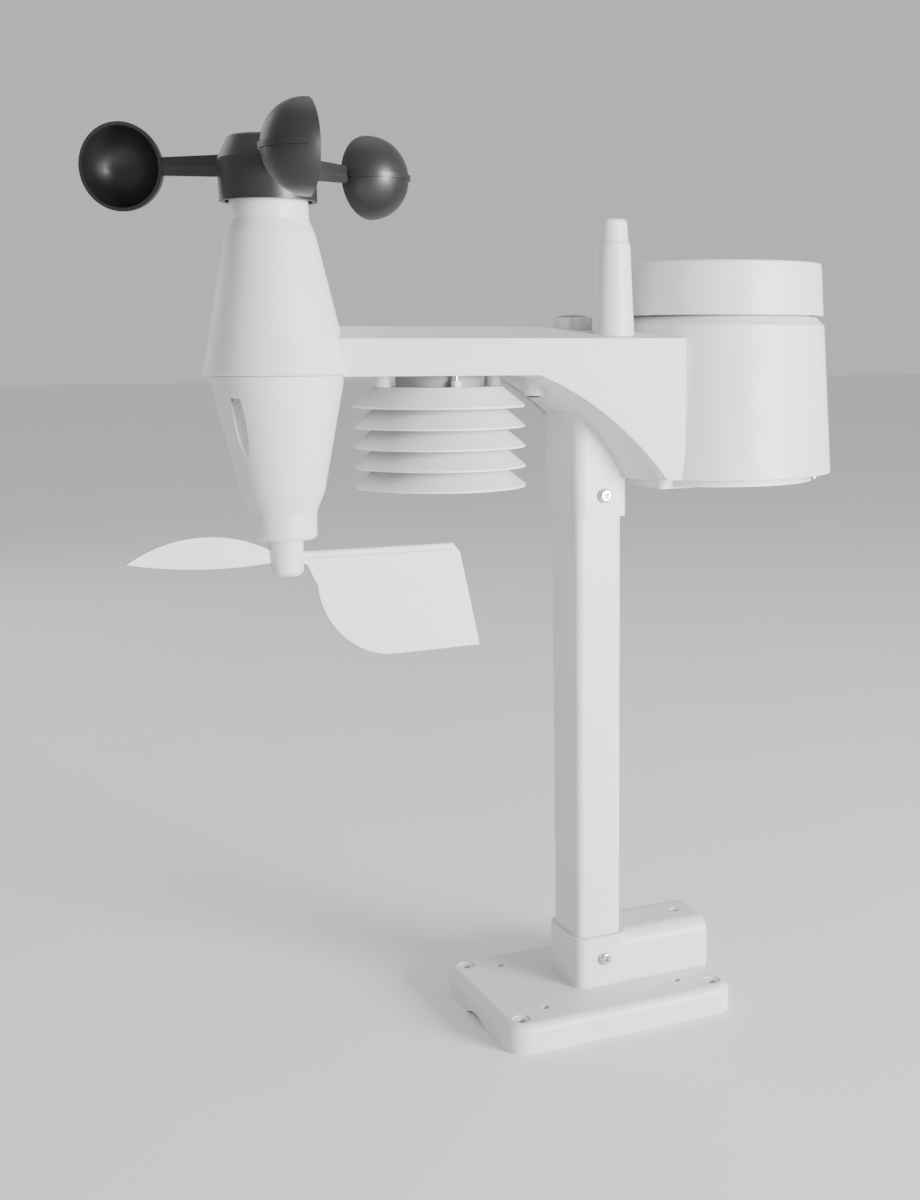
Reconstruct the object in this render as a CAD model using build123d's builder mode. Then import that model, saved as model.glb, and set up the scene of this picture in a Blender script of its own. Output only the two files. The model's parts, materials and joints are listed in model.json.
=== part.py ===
from build123d import *
import math
import os

# Home weather station: outdoor sensor head on a pole and a screw-down base.
# Millimetres. Origin: pole axis at the underside of the base. +X runs along the
# arm towards the rain gauge, +Z is up, and the wide side of the arm faces -Y.

os.makedirs("parts", exist_ok=True)

# ---- main stations along the arm ----
WIND_X = -137.3
SHIELD_X = -68.8
RAIN_X = 64.6
WALL = 2.2

# ---- base and pole ----
BASE_L, BASE_W, BASE_H = 116.0, 86.0, 13.5
CORNER_HOLES = (99.0, 68.5)
INNER_HOLES = (69.0, 54.0)
CORNER_HOLE_R, SMALL_HOLE_R = 2.1, 1.9
BLOCK_HALF_W = 17.0
BLOCK_TOP = 38.0
BLOCK_END_X = 57.0
BLOCK_HOLE_X = 48.2
SOCKET_HALF_X = 13.2
SOCKET_CORNER_R = 5.5
POLE_X, POLE_Y, POLE_CORNER_R = 23.1, 28.2, 4.0
POLE_WALL = 1.8
POLE_Z0, POLE_Z1 = 10.0, 285.0
POLE_FIT = 0.1
BOLT_X = 1.0
BASE_BOLT_Z, HEAD_BOLT_Z = 27.2, 244.3
BOLT_R = 1.75
HEAD_SOCKET_Z = 235.0

# ---- arm ----
ARM_END_X = 28.2
ARM_EDGE_Z = 311.1
RIDGE_Z = 316.2
ARM_LOW_Z = 296.4
ARM_SIDE_AT_CONE = (-115.5, 17.7)
ARM_FLARE = 0.155
# underside flare: a surface of revolution round the rain gauge's axis
FLARE_TOP_R = 104.0
FLARE_MID = (75.8, 276.4)
FLARE_END_R = 58.6
COVER_RECESS = 1.3

# ---- rain gauge ----
RAIN_BOTTOM_Z = 251.7
RAIN_TOP_Z = 320.3
RAIN_WALL = 2.4
RAIN_BOTTOM_R, RAIN_SHOULDER_R = 54.9, 50.0
RAIN_SHOULDER_Z = 316.6
RAIN_TOP_R, RAIN_MOUTH_R = 46.2, 44.0
PAN_Z = 248.1
PAN_R = 46.5
PAN_FLANGE_R = 52.0
COLLAR_Z0, COLLAR_Z1 = 320.9, 343.2
COLLAR_R0, COLLAR_R1 = 49.5, 48.0

# ---- wind sensor ----
CUP_Z = 376.75
CUP_CIRCLE_R = 58.45
CUP_R, CUP_INNER_R = 16.75, 15.35
CUP_ANGLES = (-90.0, 30.0, 150.0)
SHAFT_R = 1.5
SHAFT_FIT = 0.03
BEARING_R = 4.0
BEARING_L = 4.0
VANE_TOP_Z = 231.0
CONE_SPLIT_Z = 297.0

# ---- radiation shield ----
LOUVRE_COUNT = 5
LOUVRE_PITCH = 8.32
LOUVRE_RIM_R = 36.3
LOUVRE_TOP_RIM_Z = 283.3
LOUVRE_RISE = 8.4
LOUVRE_INNER_R = 18.4
DRUM_R = 18.0
POST_X, POST_Y = 24.6, 20.8
COVER_Z = ARM_LOW_Z + COVER_RECESS
SHIELD_SCREWS = (
    (SHIELD_X - POST_X, 0),
    (SHIELD_X + POST_X, 0),
    (SHIELD_X, -POST_Y),
    (SHIELD_X, POST_Y),
)

# ---- rain tipper ----
PIVOT_Z = 270.0
TIP_ANGLE = 14.04
TIPPER_HALF_W = 9.5
AXLE_R = 1.25

# ---- battery bay: three upright AA cells beside the pole ----
CELL_X = 31.0
CELL_Y = (-14.8, 0.0, 14.8)
CELL_R = 7.1
BAY_L, BAY_W = 15.0, 45.0
BAY_FRAME = (21.4, 40.8, -29.0, 35.0)
DOOR_Z = 247.1
DOOR_MARGIN = 0.9
DOOR_SCREW_Y = 29.8

# ---- small parts on the arm ----
ANTENNA_X, ANTENNA_Y = 2.9, -21.0
LEVEL_X, LEVEL_Y = -6.2, 0.0
BUTTON_X, BUTTON_Y, BUTTON_FACE_Z = -29.0, -10.0, 286.8
LIGHT_X, LIGHT_Y, LIGHT_Z = -29.5, -26.2, 295.0
CONE_SCREW_ANGLES = (214.0, 34.0)
CONE_SCREW_CIRCLE_R = 22.6
HOUSING_SCREW_ANGLES = (-55.0, 0.0, 55.0)
HOUSING_SCREW_CIRCLE_R = 50.0


def save(part, name):
    """Label a finished piece and write its STEP file."""
    part.label = name
    export_step(part, f"parts/{name}.step")


def side_y(x, inset=0.0):
    """Distance of the arm's flared side wall from the XZ plane, moved inwards by inset."""
    outer = ARM_SIDE_AT_CONE[1] + ARM_FLARE * (x - ARM_SIDE_AT_CONE[0])
    return outer - inset * math.hypot(1.0, ARM_FLARE)


def arm_section(x, inset, low_z):
    """Corner points (y, z) of the arm's cross-section at x."""
    half = side_y(x, inset)
    return [
        (-half, low_z),
        (-half, ARM_EDGE_Z - inset),
        (0.0, RIDGE_Z - inset),
        (half, ARM_EDGE_Z - inset),
        (half, low_z),
    ]


def rain_wall_r(z):
    """Outer radius of the rain gauge wall at height z."""
    share = (z - RAIN_BOTTOM_Z) / (RAIN_SHOULDER_Z - RAIN_BOTTOM_Z)
    return RAIN_BOTTOM_R + share * (RAIN_SHOULDER_R - RAIN_BOTTOM_R)


def flare_points(depth, foot_z):
    """Flare profile (x, z) on the XZ plane, moved into the arm by depth, down to foot_z."""
    mid_r, mid_z = FLARE_MID
    foot_r = FLARE_END_R + 0.52 * (foot_z - RAIN_BOTTOM_Z)
    return [
        (RAIN_X - FLARE_TOP_R, ARM_LOW_Z + depth),
        (RAIN_X - mid_r + 0.72 * depth, mid_z + 0.69 * depth),
        (RAIN_X - foot_r + 1.12 * depth, foot_z),
    ]


def vertical_axis(x, y=0.0):
    return Axis((x, y, 0), (0, 0, 1))


# =====================================================================
# Base
# =====================================================================
with BuildPart() as base_tail:
    with BuildSketch(Plane.YZ.offset(2.0)) as tail_profile:
        with Locations((0, (BLOCK_TOP + 8) / 2)):
            Rectangle(2 * BLOCK_HALF_W, BLOCK_TOP - 8)
        fillet(tail_profile.vertices().group_by(Axis.Z)[-1], 7.5)
    extrude(amount=BLOCK_END_X - 2.0)
    fillet(base_tail.faces().sort_by(Axis.X)[-1].edges(), 1.2)

with BuildPart() as mounting_base:
    with BuildSketch():
        RectangleRounded(BASE_L, BASE_W, 10.0)
    extrude(amount=BASE_H)
    fillet(mounting_base.faces().sort_by(Axis.Z)[-1].edges(), 4.2)
    add(base_tail.part)
    with BuildSketch(Plane.XY.offset(8)):
        RectangleRounded(2 * SOCKET_HALF_X, 2 * BLOCK_HALF_W, SOCKET_CORNER_R)
    extrude(amount=BLOCK_TOP - 8)
    # pole socket
    with BuildSketch(Plane.XY.offset(POLE_Z0)):
        RectangleRounded(POLE_X + 2 * POLE_FIT, POLE_Y + 2 * POLE_FIT, POLE_CORNER_R)
    extrude(amount=BLOCK_TOP, mode=Mode.SUBTRACT)
    # hollows under the plate and inside the block's tail
    with BuildSketch():
        with Locations((0, 27), (0, -27)):
            RectangleRounded(86, 20, 3)
    extrude(amount=BASE_H - 3, mode=Mode.SUBTRACT)
    with BuildSketch():
        with Locations((35.5, 0)):
            RectangleRounded(35, 26, 3)
    extrude(amount=BLOCK_TOP - 3.5, mode=Mode.SUBTRACT)
    # bosses and ribs inside the hollows
    with BuildSketch():
        with GridLocations(*INNER_HOLES, 2, 2):
            Circle(4.5)
        with Locations((0, 27), (0, -27)):
            Rectangle(2.4, 21)
        with Locations((BLOCK_HOLE_X, 0)):
            Circle(4.2)
    extrude(amount=BASE_H - 2)
    with BuildSketch(Plane.XY.offset(BASE_H - 2)):
        with Locations((BLOCK_HOLE_X, 0)):
            Circle(4.2)
    extrude(amount=BLOCK_TOP - BASE_H)
    # groove along the underside for a horizontal pipe
    with BuildSketch(Plane.YZ.offset(-BASE_L / 2)):
        with Locations((0, 3.5 - 22.3)):
            Circle(22.3)
    extrude(amount=BASE_L, mode=Mode.SUBTRACT)
    # fixing holes
    with Locations((0, 0, BASE_H)):
        with GridLocations(*CORNER_HOLES, 2, 2):
            CounterBoreHole(CORNER_HOLE_R, 4.3, 0.6, depth=BASE_H)
        with GridLocations(*INNER_HOLES, 2, 2):
            Hole(SMALL_HOLE_R, depth=BASE_H)
    with Locations((BLOCK_HOLE_X, 0, BLOCK_TOP)):
        CounterSinkHole(1.8, 2.6, depth=BLOCK_TOP)
    # cross hole for the pole bolt, and the nut's pocket at the back
    with BuildSketch(Plane.XZ.offset(-BLOCK_HALF_W)):
        with Locations((BOLT_X, BASE_BOLT_Z)):
            Circle(BOLT_R + 0.1)
    extrude(amount=2 * BLOCK_HALF_W, mode=Mode.SUBTRACT)
save(mounting_base.part, "mounting_base")

with BuildPart() as mounting_pole:
    with BuildSketch(Plane.XY.offset(POLE_Z0)):
        RectangleRounded(POLE_X, POLE_Y, POLE_CORNER_R)
        offset(amount=-POLE_WALL, mode=Mode.SUBTRACT)
    extrude(amount=POLE_Z1 - POLE_Z0)
    for bolt_z in (BASE_BOLT_Z, HEAD_BOLT_Z):
        with BuildSketch(Plane.XZ.offset(-BLOCK_HALF_W)):
            with Locations((BOLT_X, bolt_z)):
                Circle(BOLT_R + 0.1)
        extrude(amount=2 * BLOCK_HALF_W, mode=Mode.SUBTRACT)
save(mounting_pole.part, "mounting_pole")

BOLT_TIP_Y = BLOCK_HALF_W + 4.0
with BuildPart() as pole_bolts:
    for bolt_z in (BASE_BOLT_Z, HEAD_BOLT_Z):
        with BuildSketch(Plane.XZ.offset(BLOCK_HALF_W)):
            with Locations((BOLT_X, bolt_z)):
                Circle(3.1)
        extrude(amount=2.0)
        with BuildSketch(Plane.XZ.offset(-BOLT_TIP_Y)):
            with Locations((BOLT_X, bolt_z)):
                Circle(BOLT_R)
        extrude(amount=BOLT_TIP_Y + BLOCK_HALF_W)
    head_rims = pole_bolts.edges().filter_by(GeomType.CIRCLE).group_by(Axis.Y)[0]
    fillet(head_rims, 1.0)
    for bolt_z in (BASE_BOLT_Z, HEAD_BOLT_Z):
        with BuildSketch(Plane.XZ.offset(BLOCK_HALF_W + 2.0)):
            with Locations((BOLT_X, bolt_z)):
                Rectangle(3.2, 0.8, rotation=45)
                Rectangle(3.2, 0.8, rotation=-45)
        extrude(amount=-1.2, mode=Mode.SUBTRACT)
save(pole_bolts.part, "pole_bolts")

with BuildPart() as pole_nuts:
    with BuildSketch(Plane.XZ.offset(-BLOCK_HALF_W)):
        with Locations((BOLT_X, BASE_BOLT_Z), (BOLT_X, HEAD_BOLT_Z)):
            RegularPolygon(3.5, 6)
            Circle(BOLT_R, mode=Mode.SUBTRACT)
    extrude(amount=-2.8)
save(pole_nuts.part, "pole_nuts")

# =====================================================================
# Upper housing: upper wind cone, arm and rain gauge wall in one moulding
# =====================================================================
with BuildPart() as upper_housing:
    for station in (WIND_X, ARM_END_X):
        with BuildSketch(Plane.YZ.offset(station)):
            Polygon(*arm_section(station, 0.0, RAIN_BOTTOM_Z), align=None)
    loft(ruled=True)
    with BuildSketch(Plane.XZ) as rain_outer:
        with BuildLine():
            Polyline(
                (RAIN_X, RAIN_BOTTOM_Z),
                (RAIN_X + RAIN_BOTTOM_R, RAIN_BOTTOM_Z),
                (RAIN_X + RAIN_SHOULDER_R, RAIN_SHOULDER_Z),
                (RAIN_X + RAIN_TOP_R, RAIN_TOP_Z),
                (RAIN_X, RAIN_TOP_Z),
                close=True,
            )
        make_face()
    revolve(axis=vertical_axis(RAIN_X))
    # the flare under the arm
    with BuildSketch(Plane.XZ):
        with BuildLine():
            flare_top, flare_mid, flare_end = flare_points(0.0, RAIN_BOTTOM_Z)
            Line((RAIN_X - 260, ARM_LOW_Z), flare_top)
            ThreePointArc(flare_top, flare_mid, flare_end)
            Polyline(
                flare_end,
                (flare_end[0], RAIN_BOTTOM_Z - 5),
                (RAIN_X - 260, RAIN_BOTTOM_Z - 5),
                (RAIN_X - 260, ARM_LOW_Z),
            )
        make_face()
    revolve(axis=vertical_axis(RAIN_X), mode=Mode.SUBTRACT)
    # upper cone of the wind sensor
    with BuildSketch(Plane.XZ):
        with BuildLine():
            Polyline(
                (WIND_X, CONE_SPLIT_Z),
                (WIND_X + 28.8, CONE_SPLIT_Z),
                (WIND_X + 29.35, CONE_SPLIT_Z + 0.8),
                (WIND_X + 17.5, 351.0),
                (WIND_X + 15.3, 356.3),
                (WIND_X + 15.2, 370.0),
                (WIND_X, 370.0),
                close=True,
            )
        make_face()
    revolve(axis=vertical_axis(WIND_X))
    # inside of the rain gauge, open at the bottom and at its mouth
    with BuildSketch(Plane.XZ):
        with BuildLine():
            Polyline(
                (RAIN_X, RAIN_BOTTOM_Z - 1),
                (RAIN_X + rain_wall_r(RAIN_BOTTOM_Z - 1) - RAIN_WALL, RAIN_BOTTOM_Z - 1),
                (RAIN_X + rain_wall_r(308) - RAIN_WALL, 308),
                (RAIN_X + RAIN_MOUTH_R, 313.0),
                (RAIN_X + RAIN_MOUTH_R, RAIN_TOP_Z + 1),
                (RAIN_X, RAIN_TOP_Z + 1),
                close=True,
            )
        make_face()
    revolve(axis=vertical_axis(RAIN_X), mode=Mode.SUBTRACT)
    # inside of the arm
    for station in (WIND_X, ARM_END_X - WALL):
        with BuildSketch(Plane.YZ.offset(station)):
            Polygon(*arm_section(station, WALL, RAIN_BOTTOM_Z - 8), align=None)
    loft(ruled=True, mode=Mode.SUBTRACT)
    # inside of the upper cone
    with BuildSketch(Plane.XZ):
        with BuildLine():
            Polyline(
                (WIND_X, CONE_SPLIT_Z - 1),
                (WIND_X + 27.2, CONE_SPLIT_Z - 1),
                (WIND_X + 15.3, 350.0),
                (WIND_X + 13.1, 356.0),
                (WIND_X + 13.1, 367.6),
                (WIND_X, 367.6),
                close=True,
            )
        make_face()
    revolve(axis=vertical_axis(WIND_X), mode=Mode.SUBTRACT)
    # bearing tube of the rotor, hung from the neck
    with BuildSketch(Plane.XY.offset(336)):
        with Locations((WIND_X, 0)):
            Circle(BEARING_R + 2.2)
    extrude(amount=33)
    with BuildSketch(Plane.XY.offset(336)):
        with Locations((WIND_X, 0)):
            Circle(BEARING_R)
    extrude(amount=35, mode=Mode.SUBTRACT)
    # screw bosses: two in the cone, three on the rain gauge's wall
    with BuildSketch(Plane.XY.offset(300.2)):
        with Locations((WIND_X, 0)):
            for angle in CONE_SCREW_ANGLES:
                with PolarLocations(CONE_SCREW_CIRCLE_R, 1, angle):
                    Circle(3.2)
    extrude(amount=13)
    with BuildSketch(Plane.XY.offset(RAIN_BOTTOM_Z + WALL)):
        with Locations((RAIN_X, 0)):
            for angle in HOUSING_SCREW_ANGLES:
                with PolarLocations(HOUSING_SCREW_CIRCLE_R, 1, angle):
                    Circle(2.6)
    extrude(amount=26)
    # holes for the bosses' screws
    with BuildSketch(Plane.XY.offset(300.2)):
        with Locations((WIND_X, 0)):
            for angle in CONE_SCREW_ANGLES:
                with PolarLocations(CONE_SCREW_CIRCLE_R, 1, angle):
                    Circle(1.3)
    extrude(amount=8, mode=Mode.SUBTRACT)
    with BuildSketch(Plane.XY.offset(RAIN_BOTTOM_Z + WALL)):
        with Locations((RAIN_X, 0)):
            for angle in HOUSING_SCREW_ANGLES:
                with PolarLocations(HOUSING_SCREW_CIRCLE_R, 1, angle):
                    Circle(1.3)
    extrude(amount=10, mode=Mode.SUBTRACT)
    # openings in the roof for the antenna and the level
    with BuildSketch(Plane.XY.offset(300)):
        with Locations((ANTENNA_X, ANTENNA_Y)):
            Circle(9.3)
        with Locations((LEVEL_X, LEVEL_Y)):
            Circle(9.5)
    extrude(amount=30, mode=Mode.SUBTRACT)
save(upper_housing.part, "upper_housing")

# =====================================================================
# Lower housing: cover under the arm, pole socket and rain gauge pan
# =====================================================================
COVER_GAP = 0.15
FLOOR_TOP_Z = RAIN_BOTTOM_Z + WALL

with BuildPart() as lower_housing:
    with BuildSketch(Plane.XZ):
        with BuildLine():
            low_top, low_mid, low_end = flare_points(COVER_RECESS, RAIN_BOTTOM_Z)
            high_top, high_mid, high_end = flare_points(COVER_RECESS + WALL, FLOOR_TOP_Z)
            Line((RAIN_X - 215, COVER_Z), low_top)
            ThreePointArc(low_top, low_mid, low_end)
            Polyline(
                low_end,
                (RAIN_X - PAN_R, RAIN_BOTTOM_Z),
                (RAIN_X - PAN_R, PAN_Z),
                (RAIN_X, PAN_Z),
                (RAIN_X, PAN_Z + 3.0),
                (RAIN_X - PAN_R + WALL, PAN_Z + 3.0),
                (RAIN_X - PAN_R + WALL, FLOOR_TOP_Z),
                high_end,
            )
            ThreePointArc(high_end, high_mid, high_top)
            Polyline(high_top, (RAIN_X - 215, COVER_Z + WALL), (RAIN_X - 215, COVER_Z))
        make_face()
    revolve(axis=vertical_axis(RAIN_X))
    # keep what lies inside the arm and rain gauge walls
    with BuildSketch(Plane.XY.offset(PAN_Z)):
        inset = WALL + COVER_GAP
        near_y = side_y(WIND_X, inset)
        far_y = side_y(ARM_END_X - inset, inset)
        Polygon(
            (WIND_X, -near_y),
            (ARM_END_X - inset, -far_y),
            (ARM_END_X - inset, far_y),
            (WIND_X, near_y),
            align=None,
        )
        with Locations((RAIN_X, 0)):
            Circle(PAN_FLANGE_R)
        with Locations((WIND_X, 0)):
            Circle(27.1, mode=Mode.SUBTRACT)
    extrude(amount=60, mode=Mode.INTERSECT)
    # frame of the battery bay, standing proud of the pan
    frame_x0, frame_x1, frame_y0, frame_y1 = BAY_FRAME
    frame_mid = ((frame_x0 + frame_x1) / 2, (frame_y0 + frame_y1) / 2)
    with BuildSketch(Plane.XY.offset(PAN_Z)):
        with Locations(frame_mid):
            RectangleRounded(frame_x1 - frame_x0, frame_y1 - frame_y0, 3.0)
    extrude(amount=FLOOR_TOP_Z - PAN_Z)
    # pole socket, hanging from the cover
    with BuildSketch(Plane.XY.offset(HEAD_SOCKET_Z)):
        RectangleRounded(2 * SOCKET_HALF_X, 2 * BLOCK_HALF_W, SOCKET_CORNER_R)
    extrude(amount=POLE_Z1 + 2.0 - HEAD_SOCKET_Z)
    with BuildSketch(Plane.XY.offset(HEAD_SOCKET_Z)):
        RectangleRounded(POLE_X + 2 * POLE_FIT, POLE_Y + 2 * POLE_FIT, POLE_CORNER_R)
    extrude(amount=POLE_Z1 - HEAD_SOCKET_Z, mode=Mode.SUBTRACT)
    with BuildSketch(Plane.XZ.offset(-BLOCK_HALF_W)):
        with Locations((BOLT_X, HEAD_BOLT_Z)):
            Circle(BOLT_R + 0.1)
    extrude(amount=2 * BLOCK_HALF_W, mode=Mode.SUBTRACT)
    # two posts down to the radiation shield
    with BuildSketch(Plane.XY.offset(LOUVRE_TOP_RIM_Z + LOUVRE_RISE)):
        with Locations(*SHIELD_SCREWS[:2]):
            Circle(3.5)
    extrude(amount=COVER_Z - LOUVRE_TOP_RIM_Z - LOUVRE_RISE + 1)
    with BuildSketch(Plane.XY.offset(LOUVRE_TOP_RIM_Z + LOUVRE_RISE)):
        with Locations(*SHIELD_SCREWS):
            Circle(1.05)
    extrude(amount=7.5, mode=Mode.SUBTRACT)
    # passage for the leads of the thermo-hygro sensor, and the button's guide
    with BuildSketch(Plane.XY.offset(COVER_Z - 1)):
        with Locations((SHIELD_X, 0)):
            Circle(8.0)
    extrude(amount=6, mode=Mode.SUBTRACT)
    with BuildSketch(Plane.XY.offset(BUTTON_FACE_Z + 0.8)):
        with Locations((BUTTON_X, BUTTON_Y)):
            Circle(4.4)
    extrude(amount=10.4)
    with BuildSketch(Plane.XY.offset(280)):
        with Locations((BUTTON_X, BUTTON_Y)):
            Circle(2.56)
        with Locations((LIGHT_X, LIGHT_Y)):
            SlotOverall(6.4, 2.5)
    extrude(amount=30, mode=Mode.SUBTRACT)
    # standoffs for the main board
    with BuildSketch(Plane.XY.offset(COVER_Z + 1)):
        with Locations((-97, 4), (-48, -12)):
            Circle(2.6)
    extrude(amount=303.5 - COVER_Z - 1)
    # battery door recess, bay opening, screw hole and drain holes
    with BuildSketch(Plane.XY.offset(PAN_Z - 1)):
        with Locations(frame_mid):
            margin = 2 * (DOOR_MARGIN - 0.3)
            RectangleRounded(frame_x1 - frame_x0 - margin, frame_y1 - frame_y0 - margin, 2.4)
    extrude(amount=DOOR_Z + 2.55 - PAN_Z + 1, mode=Mode.SUBTRACT)
    with BuildSketch(Plane.XY.offset(PAN_Z - 1)):
        with Locations((CELL_X, 0)):
            Rectangle(BAY_L, BAY_W)
        with Locations((CELL_X, DOOR_SCREW_Y)):
            Circle(1.1)
        with Locations((RAIN_X, 38.5), (RAIN_X, -38.5)):
            with GridLocations(7, 4.5, 4, 3):
                Circle(1.4)
    extrude(amount=8, mode=Mode.SUBTRACT)
    with BuildSketch(Plane.XY.offset(RAIN_BOTTOM_Z)):
        with Locations((RAIN_X, 0)):
            for angle in HOUSING_SCREW_ANGLES:
                with PolarLocations(HOUSING_SCREW_CIRCLE_R, 1, angle):
                    Circle(1.4)
    extrude(amount=4, mode=Mode.SUBTRACT)
save(lower_housing.part, "lower_housing")

with BuildPart() as housing_screws:
    with BuildSketch(Plane.XY.offset(RAIN_BOTTOM_Z)):
        with Locations((RAIN_X, 0)):
            for angle in HOUSING_SCREW_ANGLES:
                with PolarLocations(HOUSING_SCREW_CIRCLE_R, 1, angle):
                    Circle(2.1)
    extrude(amount=-1.6)
    with BuildSketch(Plane.XY.offset(RAIN_BOTTOM_Z)):
        with Locations((RAIN_X, 0)):
            for angle in HOUSING_SCREW_ANGLES:
                with PolarLocations(HOUSING_SCREW_CIRCLE_R, 1, angle):
                    Circle(1.2)
    extrude(amount=9)
save(housing_screws.part, "housing_screws")

# =====================================================================
# Wind sensor
# =====================================================================
with BuildPart() as wind_sensor_lower_cone:
    with BuildSketch(Plane.XZ):
        with BuildLine():
            Polyline(
                (WIND_X + 5.0, VANE_TOP_Z + 0.5),
                (WIND_X + 12.2, VANE_TOP_Z + 0.5),
                (WIND_X + 13.1, VANE_TOP_Z + 1.6),
                (WIND_X + 13.4, 242.2),
                (WIND_X + 17.0, 250.8),
                (WIND_X + 26.8, CONE_SPLIT_Z - 0.2),
                (WIND_X + 25.2, CONE_SPLIT_Z - 0.2),
                (WIND_X + 25.2, CONE_SPLIT_Z + 2.8),
                (WIND_X + 23.6, CONE_SPLIT_Z + 2.8),
                (WIND_X + 14.9, 251.2),
                (WIND_X + 11.2, 243.0),
                (WIND_X + 11.0, 234.0),
                (WIND_X + 5.0, 234.0),
                close=True,
            )
        make_face()
    revolve(axis=vertical_axis(WIND_X))
    # bearing tube of the vane, on the floor
    with BuildSketch(Plane.XY.offset(VANE_TOP_Z + 0.5)):
        with Locations((WIND_X, 0)):
            Circle(BEARING_R + 2.2)
            Circle(BEARING_R, mode=Mode.SUBTRACT)
    extrude(amount=25)
    # screw towers open to the outside as upright grooves
    with BuildSketch(Plane.XY.offset(262)):
        with Locations((WIND_X, 0)):
            for angle in CONE_SCREW_ANGLES:
                with PolarLocations(CONE_SCREW_CIRCLE_R, 1, angle):
                    Circle(4.4)
        with Locations((WIND_X, 0)):
            Circle(19.0, mode=Mode.SUBTRACT)
    tower_blank = extrude(amount=CONE_SPLIT_Z + 2.8 - 262, mode=Mode.PRIVATE)
    with BuildSketch(Plane.XZ, mode=Mode.PRIVATE) as cone_limit:
        with BuildLine():
            Polyline(
                (WIND_X, 255.0),
                (WIND_X + 17.9, 255.0),
                (WIND_X + 26.7, CONE_SPLIT_Z - 0.4),
                (WIND_X + 25.2, CONE_SPLIT_Z - 0.2),
                (WIND_X + 25.2, CONE_SPLIT_Z + 2.8),
                (WIND_X, CONE_SPLIT_Z + 2.8),
                close=True,
            )
        make_face()
    cone_body = revolve(cone_limit.sketch, axis=vertical_axis(WIND_X), mode=Mode.PRIVATE)
    add(tower_blank & cone_body)
    with BuildSketch(Plane.XY.offset(255)):
        with Locations((WIND_X, 0)):
            for angle in CONE_SCREW_ANGLES:
                with PolarLocations(CONE_SCREW_CIRCLE_R + 0.4, 1, angle):
                    Circle(3.0)
    extrude(amount=288.5 - 255, mode=Mode.SUBTRACT)
    with BuildSketch(Plane.XY.offset(280)):
        with Locations((WIND_X, 0)):
            for angle in CONE_SCREW_ANGLES:
                with PolarLocations(CONE_SCREW_CIRCLE_R, 1, angle):
                    Circle(1.4)
    extrude(amount=22, mode=Mode.SUBTRACT)
save(wind_sensor_lower_cone.part, "wind_sensor_lower_cone")

with BuildPart() as cone_screws:
    with Locations((WIND_X, 0)):
        for angle in CONE_SCREW_ANGLES:
            with PolarLocations(CONE_SCREW_CIRCLE_R, 1, angle):
                with Locations((0, 0, 287.6)):
                    Cylinder(2.3, 1.8)
                with Locations((0, 0, 297.0)):
                    Cylinder(1.2, 18.0)
save(cone_screws.part, "cone_screws")


def ball_bearings(low_z_list):
    """Rings that stand for small sealed bearings, one at each height."""
    with BuildPart() as bearings:
        for low_z in low_z_list:
            with BuildSketch(Plane.XY.offset(low_z)):
                with Locations((WIND_X, 0)):
                    Circle(BEARING_R)
                    Circle(SHAFT_R + SHAFT_FIT, mode=Mode.SUBTRACT)
            extrude(amount=BEARING_L)
    return bearings.part


def round_board(low_z, radius):
    """Round circuit board with a hole round the shaft's axis."""
    with BuildPart() as board:
        with BuildSketch(Plane.XY.offset(low_z)):
            with Locations((WIND_X, 0)):
                Circle(radius)
                Circle(2.0, mode=Mode.SUBTRACT)
        extrude(amount=1.6)
    return board.part


def ring_magnet(low_z):
    """Ring magnet carried on a shaft."""
    with BuildPart() as magnet:
        with BuildSketch(Plane.XY.offset(low_z)):
            with Locations((WIND_X, 0)):
                Circle(6.0)
                Circle(SHAFT_R, mode=Mode.SUBTRACT)
        extrude(amount=3.5)
    return magnet.part


ROTOR_BEARING_Z = (336.2, 365.6)
VANE_BEARING_Z = (VANE_TOP_Z + 0.8, 252.2)

save(ball_bearings(ROTOR_BEARING_Z), "rotor_bearings")
save(ball_bearings(VANE_BEARING_Z), "vane_bearings")

with BuildPart() as wind_speed_board:
    add(round_board(316.0, 15.0))
    with BuildSketch(Plane.XY.offset(317.6)):
        with Locations((WIND_X + 8.5, 0)):
            Rectangle(2.4, 12.0)
        with Locations((WIND_X - 8.0, 4.0)):
            Rectangle(4.0, 5.0)
    extrude(amount=2.2)
save(wind_speed_board.part, "wind_speed_board")

with BuildPart() as wind_direction_board:
    add(round_board(266.0, 15.0))
    with BuildSketch(Plane.XY.offset(264.4)):
        with Locations((WIND_X, 0)):
            with PolarLocations(9.5, 8):
                Rectangle(4.0, 2.4)
    extrude(amount=1.6)
save(wind_direction_board.part, "wind_direction_board")

with BuildPart() as board_holders:
    for low_z, outer_r, board_z in ((314.0, 22.4, 316.0), (262.4, 16.7, 266.0)):
        with BuildSketch(Plane.XY.offset(low_z)):
            with Locations((WIND_X, 0)):
                Circle(outer_r)
                Circle(13.6, mode=Mode.SUBTRACT)
        extrude(amount=1.4)
        with BuildSketch(Plane.XY.offset(low_z)):
            with Locations((WIND_X, 0)):
                with PolarLocations(14.4, 3, 90):
                    Circle(0.9)
        extrude(amount=board_z - low_z)
save(board_holders.part, "board_holders")

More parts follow.
